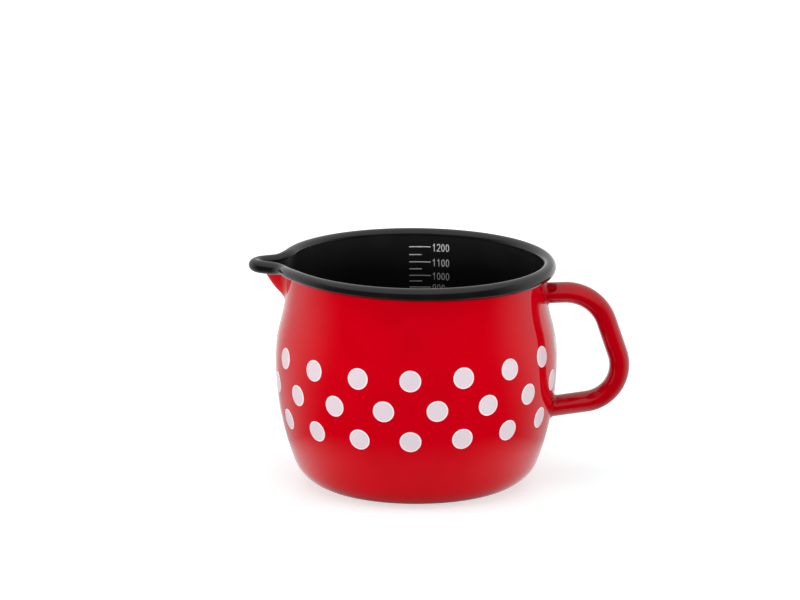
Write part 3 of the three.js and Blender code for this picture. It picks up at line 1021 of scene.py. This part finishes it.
@dataclass(frozen=True)
class DotBand:
    """Three staggered rows of fired white dots round the belly, in a slightly leaning band that
    leaves a wider gap at the back."""

    wall: PotWall
    diameter: float = 10.8
    thickness: float = 0.13
    sunk: float = 0.03
    per_row: int = 16
    pitch: float = 21.8
    upper_row: float = 72.3
    row_pitch: float = 15.85
    tilt: float = 2.9
    high_side: float = 154.0
    columns: int = 56
    rings: tuple[float, ...] = (1.0, 1.0, 0.995, 0.98, 0.96, 0.93, 0.9, 0.75, 0.5, 0.25)
    round_from: float = 0.9

    def dot(self, surface: Surface, angle: float, height: float) -> None:
        """Adds one dot: a disc laid on the belly, with a rounded edge and its first ring sunk.

        Its height is the thickness times the root of 1 less the square of how far the ring lies
        in the rounded edge.

        Args:
            surface: Surface that gets the dot.
            angle: Angle from the front towards the handle.
            height: Height of its middle.
        """
        share = np.array(self.rings)[:, None]
        edge = np.clip((share - self.round_from) / (1 - self.round_from), 0, 1)
        rise = self.thickness * np.sqrt(1 - edge**2)
        rise[0] = -self.sunk
        turn = np.linspace(0, 2 * np.pi, self.columns, endpoint=False)[None, :]
        radius, slope = self.wall.outside(np.array(height))
        across = share * self.diameter / 2 * np.cos(turn) / radius
        up = share * self.diameter / 2 * np.sin(turn) * np.cos(slope)
        points = self.wall.place(angle + across, height + up, np.broadcast_to(rise, up.shape))
        # The ring's share is the edge mark that places the painted highlight along the dot's edge.
        numbers = surface.add_grid(points, np.broadcast_to(share, up.shape))
        poles = self.wall.place(np.full(2, angle), np.full(2, height), np.array([-self.sunk, self.thickness]))
        surface.add_caps(numbers, *poles)

    def build(self, dresser: Dresser) -> None:
        """Builds and dresses one piece for each row, leaving out the place under the handle."""
        for row, name in enumerate(("upper", "middle", "lower")):
            surface = Surface()
            nodes = []
            for count in range(self.per_row):
                if name == "lower" and count == self.per_row // 4:
                    continue
                turn = count if count < self.per_row // 2 else count - self.per_row
                angle = np.radians(self.pitch) * (turn + (row % 2) / 2)
                lift = self.tilt * np.cos(angle - np.radians(self.high_side))
                self.dot(surface, angle, self.upper_row - self.row_pitch * row + lift)
                nodes.append(f"dot_{name}_{count + 1:02d}")
            dresser.dress(surface.make(f"{name}_dots"), WHITE_ENAMEL, nodes)


@dataclass(frozen=True)
class Stroke:
    """Stroke of a digit in a box of one by one: a line, or an oval arc where it has angles.

    A line runs from start to stop, which are points. An arc has its middle at start and its two
    half sizes in stop, and runs between two angles in degrees.
    """

    start: tuple[float, float]
    stop: tuple[float, float]
    angles: tuple[float, float] | None = None

    def path(self, steps: int) -> Array:
        """Points along the stroke, even in its angle or its length."""
        if self.angles is None:
            return np.linspace(self.start, self.stop, steps)
        turn = np.radians(np.linspace(*self.angles, steps))
        return np.array(self.start) + np.array(self.stop) * unit(turn)


DIGITS = {
    "0": [Stroke((0.5, 0.5), (0.43, 0.5), (0, 360))],
    "1": [Stroke((0.58, 0.0), (0.58, 1.0)), Stroke((0.58, 1.0), (0.2, 0.76))],
    "2": [
        Stroke((0.5, 0.71), (0.42, 0.29), (170, -35)), Stroke((0.85, 0.55), (0.06, 0.0)),
        Stroke((0.06, 0.0), (0.94, 0.0)),
    ],
    "3": [Stroke((0.48, 0.75), (0.38, 0.25), (160, -90)), Stroke((0.48, 0.25), (0.44, 0.25), (90, -165))],
    "4": [
        Stroke((0.72, 0.0), (0.72, 1.0)), Stroke((0.72, 1.0), (0.04, 0.3)), Stroke((0.04, 0.3), (0.98, 0.3)),
    ],
    "5": [
        Stroke((0.88, 1.0), (0.2, 1.0)), Stroke((0.2, 1.0), (0.12, 0.52)),
        Stroke((0.48, 0.32), (0.44, 0.32), (145, -160)),
    ],
    "6": [Stroke((0.5, 0.31), (0.42, 0.31), (0, 360)), Stroke((0.56, 0.4), (0.48, 0.6), (60, 188))],
    "7": [Stroke((0.06, 1.0), (0.94, 1.0)), Stroke((0.94, 1.0), (0.36, 0.0))],
    "8": [Stroke((0.5, 0.77), (0.36, 0.23), (0, 360)), Stroke((0.5, 0.27), (0.43, 0.27), (0, 360))],
    "9": [Stroke((0.5, 0.69), (0.42, 0.31), (0, 360)), Stroke((0.44, 0.6), (0.48, 0.6), (-120, 8))],
}


@dataclass(frozen=True)
class MeasuringScale:
    """White measuring scale on the back of the inside, with a line for every 50 millilitres and
    a longer one with its number for every 100."""

    wall: PotWall
    first: int = 100
    step: int = 50
    numbered: int = 100
    seen_from: int = 900
    seen_heights: tuple[float, ...] = (84.2, 87.6, 90.7, 94.3, 98.1, 102.0, 106.2)
    levels: int = 2000
    left: float = -6.5
    long_line: float = 11.4
    short_line: float = 6.7
    line: float = 0.48
    number_left: float = 5.8
    digit_width: float = 1.75
    digit_gap: float = 0.62
    digit_height: float = 3.7
    digit_line: float = 0.42
    number_drop: float = 0.3
    lift: float = 0.01
    thickness: float = 0.04
    steps: int = 16

    def marks(self) -> tuple[Array, Array]:
        """Volumes of the lines and their heights.

        The upper lines stand where they are seen. Below them each line stands where the inside
        holds its share of what it holds at the lowest of these, with the inside's area summed up.

        Returns:
            Volumes in millilitres and heights on the outside's meridian.
        """
        lower = np.arange(self.first, self.seen_from, self.step)
        seen = self.seen_from + self.step * np.arange(len(self.seen_heights))
        level = np.linspace(self.wall.thickness, self.seen_heights[0], self.levels)
        radius, slope = self.wall.outside(level)
        held = np.cumsum((radius - self.wall.thickness / np.cos(slope)) ** 2)
        heights = np.interp(lower / self.seen_from, held / held[-1], level)
        return np.concatenate([lower, seen]), np.concatenate([heights, self.seen_heights])

    def ribbon(self, surface: Surface, path: Array, width: float) -> None:
        """Adds a thin ribbon along a path on the inside's back: a flat box section carried on it.

        Args:
            surface: Surface that gets the ribbon.
            path: Points across and up, from the middle of the back.
            width: Width of the ribbon.
        """
        step = np.gradient(path, axis=0)
        step /= np.linalg.norm(step, axis=1, keepdims=True)
        side = np.stack([-step[:, 1], step[:, 0]], axis=-1) * width / 2
        across = np.stack([path + side, path - side, path - side, path + side], axis=1)
        depth = self.wall.thickness + self.lift + self.thickness * np.array([0, 0, 1, 1])
        radius = self.wall.outside(across[..., 1])[0]
        angle = np.pi - across[..., 0] / radius
        points = self.wall.place(angle, across[..., 1], np.broadcast_to(-depth, angle.shape))
        numbers = surface.add_grid(points)
        surface.add_caps(numbers, points[0].mean(0), points[-1].mean(0))

    def stretched(self, path: Array, width: float) -> Array:
        """A straight path made longer by half its width at both ends."""
        along = (path[-1] - path[0]) / np.linalg.norm(path[-1] - path[0]) * width / 2
        return np.linspace(path[0] - along, path[-1] + along, self.steps)

    def number(self, surface: Surface, value: int, height: float) -> None:
        """Adds a number: the strokes of its digits, side by side from the left.

        Args:
            surface: Surface that gets the strokes.
            value: The number.
            height: Height of the number's middle.
        """
        box = np.array([self.digit_width, self.digit_height])
        for place, digit in enumerate(str(value)):
            left = self.number_left + place * (self.digit_width + self.digit_gap)
            corner = np.array([left, height - self.digit_height / 2])
            for stroke in DIGITS[digit]:
                path = corner + box * stroke.path(self.steps)
                if stroke.angles is None:
                    path = self.stretched(path, self.digit_line)
                self.ribbon(surface, path, self.digit_line)

    def build(self, dresser: Dresser) -> None:
        """Builds and dresses the lines and the numbers as one piece."""
        surface = Surface()
        for volume, height in zip(*self.marks()):
            numbered = volume % self.numbered == 0
            right = self.left + (self.long_line if numbered else self.short_line)
            path = np.linspace([self.left, height], [right, height], self.steps)
            self.ribbon(surface, path, self.line)
            if numbered:
                self.number(surface, int(volume), height - self.number_drop)
        dresser.dress(surface.make("measuring_scale"), SCALE_ENAMEL, [])


@dataclass(frozen=True)
class Lamp:
    """Soft square lamp, in metres and watts, that shines at the pot and isn't seen in its gloss."""

    name: str
    place: Triple
    size: float
    power: float
    colour: Triple = (1.0, 1.0, 1.0)
    aim: Triple = (0.0, 0.0, 0.06)

    def build(self) -> None:
        """Adds the lamp, turned towards its aim."""
        light = bpy.data.lights.new(self.name, "AREA")
        light.shape = "SQUARE"
        light.size = self.size
        light.energy = self.power
        light.color = self.colour
        lamp = bpy.data.objects.new(self.name, light)
        lamp.location = self.place
        lamp.rotation_euler = (Vector(self.aim) - Vector(self.place)).to_track_quat("-Z", "Y").to_euler()
        lamp.visible_glossy = False
        lamp.visible_camera = False
        bpy.context.scene.collection.objects.link(lamp)


LAMPS = (
    Lamp("front_lamp", (0.0, -2.4, 0.36), 0.4, 28.0),
    Lamp("left_lamp", (-2.2, 0.1, 0.25), 1.2, 32.0, (1.0, 0.8, 0.8)),
    Lamp("right_lamp", (2.2, 0.1, 0.25), 1.2, 26.0, (1.0, 0.85, 0.85)),
    Lamp("top_lamp", (0.0, -0.3, 1.8), 1.6, 12.0),
    Lamp("back_lamp", (0.0, 2.4, 0.36), 0.8, 20.0),
)


@dataclass(frozen=True)
class Studio:
    """White floor and surroundings, which gloss sees bright behind the pot and dark in front.

    A span holds the value where its effect is none and the value where it is full. The spans of
    gloss are parts of a direction from the pot, and those of the floor are metres from its middle.
    """

    floor_size: float = 8000.0
    floor_drop: float = 0.05
    floor_colour: Colour = (0.61, 0.74, 0.74, 1.0)
    floor_lift: float = 0.57
    far_lift: float = 0.3
    far_floor: Span = (0.15, 0.7)
    fill: float = 0.31
    gloss: float = 0.62
    behind: Span = (-0.5, 0.45)
    above: Span = (0.3, 0.75)
    back_gloss: float = 0.4
    straight_behind: Span = (0.6, 0.95)
    low_behind: Span = (0.2, 0.0)
    near_gloss: float = 0.16
    near_floor: Span = (0.13, 0.08)
    side_gloss: float = 0.74
    beside: Span = (-1.0, -0.1)

    def floor(self) -> None:
        """Adds the floor, a flat square just under the pot."""
        corners = np.array([[1, 1, 0], [-1, 1, 0], [-1, -1, 0], [1, -1, 0]]) * self.floor_size / 2
        surface = Surface()
        numbers = surface.add_points(corners - np.array([0, 0, self.floor_drop]))
        surface.faces.append(numbers[None, :])
        floor = surface.make("floor")
        floor.data.materials.append(self.floor_material())

    def backdrop(self, wiring: Wiring, direction: Socket) -> Socket:
        """Brightness that gloss sees in a direction.

        Args:
            wiring: Wiring that gets the nodes.
            direction: Direction from the pot.

        Returns:
            The gloss strength behind and above the pot, more of it low and straight behind, fading
            to none in front of it.
        """
        split = wiring.add("ShaderNodeSeparateXYZ", {0: direction}).outputs
        behind = wiring.step(split["Y"], self.behind)
        above = wiring.step(split["Z"], self.above)
        wide = wiring.math("MULTIPLY", wiring.math("MAXIMUM", behind, above), self.gloss)
        straight = wiring.step(split["Y"], self.straight_behind)
        low = wiring.math("MULTIPLY", straight, wiring.step(split["Z"], self.low_behind))
        return wiring.math("MULTIPLY_ADD", low, self.back_gloss, wide)

    def floor_material(self) -> bpy.types.Material:
        """Makes the floor's material.

        Returns:
            A matt floor with a lift for the eye, so that it ends white. Gloss sees it as it sees
            the backdrop, and near the pot also bright at the sides and dim in front.
        """
        material, wiring = blank_material("studio_floor")
        path = wiring.add("ShaderNodeLightPath").outputs
        place = wiring.add("ShaderNodeNewGeometry").outputs["Position"]
        far = wiring.add("ShaderNodeVectorMath", {0: place}, operation="LENGTH").outputs["Value"]
        towards = wiring.add("ShaderNodeVectorMath", {0: place}, operation="NORMALIZE").outputs["Vector"]
        away = wiring.step(far, self.far_floor)
        rise = wiring.math("MULTIPLY_ADD", away, self.far_lift, self.floor_lift)
        eye = wiring.math("MULTIPLY", path["Is Camera Ray"], rise)
        lift = wiring.add("ShaderNodeEmission", {"Strength": eye})
        matt = wiring.add("ShaderNodeBsdfDiffuse", {"Color": self.floor_colour})
        shown = wiring.add("ShaderNodeAddShader", {0: matt.outputs[0], 1: lift.outputs[0]})
        front = wiring.add("ShaderNodeSeparateXYZ", {0: towards}).outputs["Y"]
        sides = wiring.step(front, self.beside)
        glow = wiring.math("MULTIPLY_ADD", sides, self.side_gloss, self.near_gloss)
        near = wiring.math("MULTIPLY", wiring.step(far, self.near_floor), glow)
        lit = wiring.math("MAXIMUM", self.backdrop(wiring, towards), near)
        seen = wiring.add("ShaderNodeEmission", {"Strength": lit})
        parts = {0: path["Is Glossy Ray"], 1: shown.outputs[0], 2: seen.outputs[0]}
        choice = wiring.add("ShaderNodeMixShader", parts)
        wiring.add("ShaderNodeOutputMaterial", {"Surface": choice.outputs[0]})
        return material

    def world(self) -> None:
        """Sets the surroundings: white to the eye, an even fill for matt light, and the backdrop for
        gloss."""
        world = bpy.data.worlds.new("studio")
        bpy.context.scene.world = world
        world.use_nodes = True
        world.node_tree.nodes.clear()
        wiring = Wiring(world.node_tree)
        path = wiring.add("ShaderNodeLightPath").outputs
        gloss = self.backdrop(wiring, wiring.add("ShaderNodeTexCoord").outputs["Generated"])
        parts = {0: path["Is Glossy Ray"], 2: self.fill, 3: gloss}
        light = wiring.add("ShaderNodeMix", parts, data_type="FLOAT").outputs[0]
        strength = wiring.math("MAXIMUM", light, path["Is Camera Ray"])
        white = wiring.add("ShaderNodeBackground", {"Color": (1.0, 1.0, 1.0, 1.0), "Strength": strength})
        wiring.add("ShaderNodeOutputWorld", {"Surface": white.outputs[0]})

    def build(self) -> None:
        """Sets up the floor, the surroundings, the lamps and the plain view transform."""
        bpy.context.scene.view_settings.view_transform = "Standard"
        self.floor()
        self.world()
        for lamp in LAMPS:
            lamp.build()


@dataclass(frozen=True)
class PhotoCamera:
    """Camera of the photograph: its distance, angles, scale in pixels for each millimetre, and the
    pixel where its target appears."""

    distance: float = 3000.0
    target_height: float = 56.17
    elevation: float = 14.68
    azimuth: float = 2.4
    scale: float = 1.97
    target_across: float = 416.3
    target_down: float = 371.68

    def build(self) -> None:
        """Adds the camera and makes it the scene's own one.

        It stands on the ray back from its target and looks at the point that lies in the middle of
        the image, which is off the target by the target's place in the image over the scale.
        """
        rise, turn = np.radians([self.elevation, self.azimuth])
        back = np.array([np.sin(turn) * np.cos(rise), -np.cos(turn) * np.cos(rise), np.sin(rise)])
        level = np.array([np.cos(turn), np.sin(turn), 0.0])
        target = np.array([0.0, 0.0, self.target_height])
        across = (IMAGE_WIDTH / 2 - self.target_across) / self.scale
        raised = (self.target_down - IMAGE_HEIGHT / 2) / self.scale
        aim = target + across * level + raised * np.cross(back, level)
        place = target + self.distance * back
        away = (place - aim) / np.linalg.norm(place - aim)
        right = level - (level @ away) * away
        right /= np.linalg.norm(right)
        up = np.cross(away, right)
        lens = bpy.data.cameras.new("photo_camera")
        lens.sensor_width = SENSOR_WIDTH
        lens.lens = self.scale * self.distance / IMAGE_WIDTH * SENSOR_WIDTH
        camera = bpy.data.objects.new("photo_camera", lens)
        turned = Matrix(np.stack([right, up, away], axis=1).tolist()).to_4x4()
        camera.matrix_world = Matrix.Translation(Vector(place * MM)) @ turned
        bpy.context.scene.collection.objects.link(camera)
        bpy.context.scene.camera = camera


def main() -> None:
    """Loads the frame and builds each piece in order."""
    logging.basicConfig(level=logging.INFO, format="%(message)s")
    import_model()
    wall = PotWall()
    dresser = Dresser()
    for piece in (Vessel, RimRoll, LoopHandle, DotBand, MeasuringScale):
        piece(wall).build(dresser)
    Studio().build()
    PhotoCamera().build()


if __name__ == "__main__":
    main()
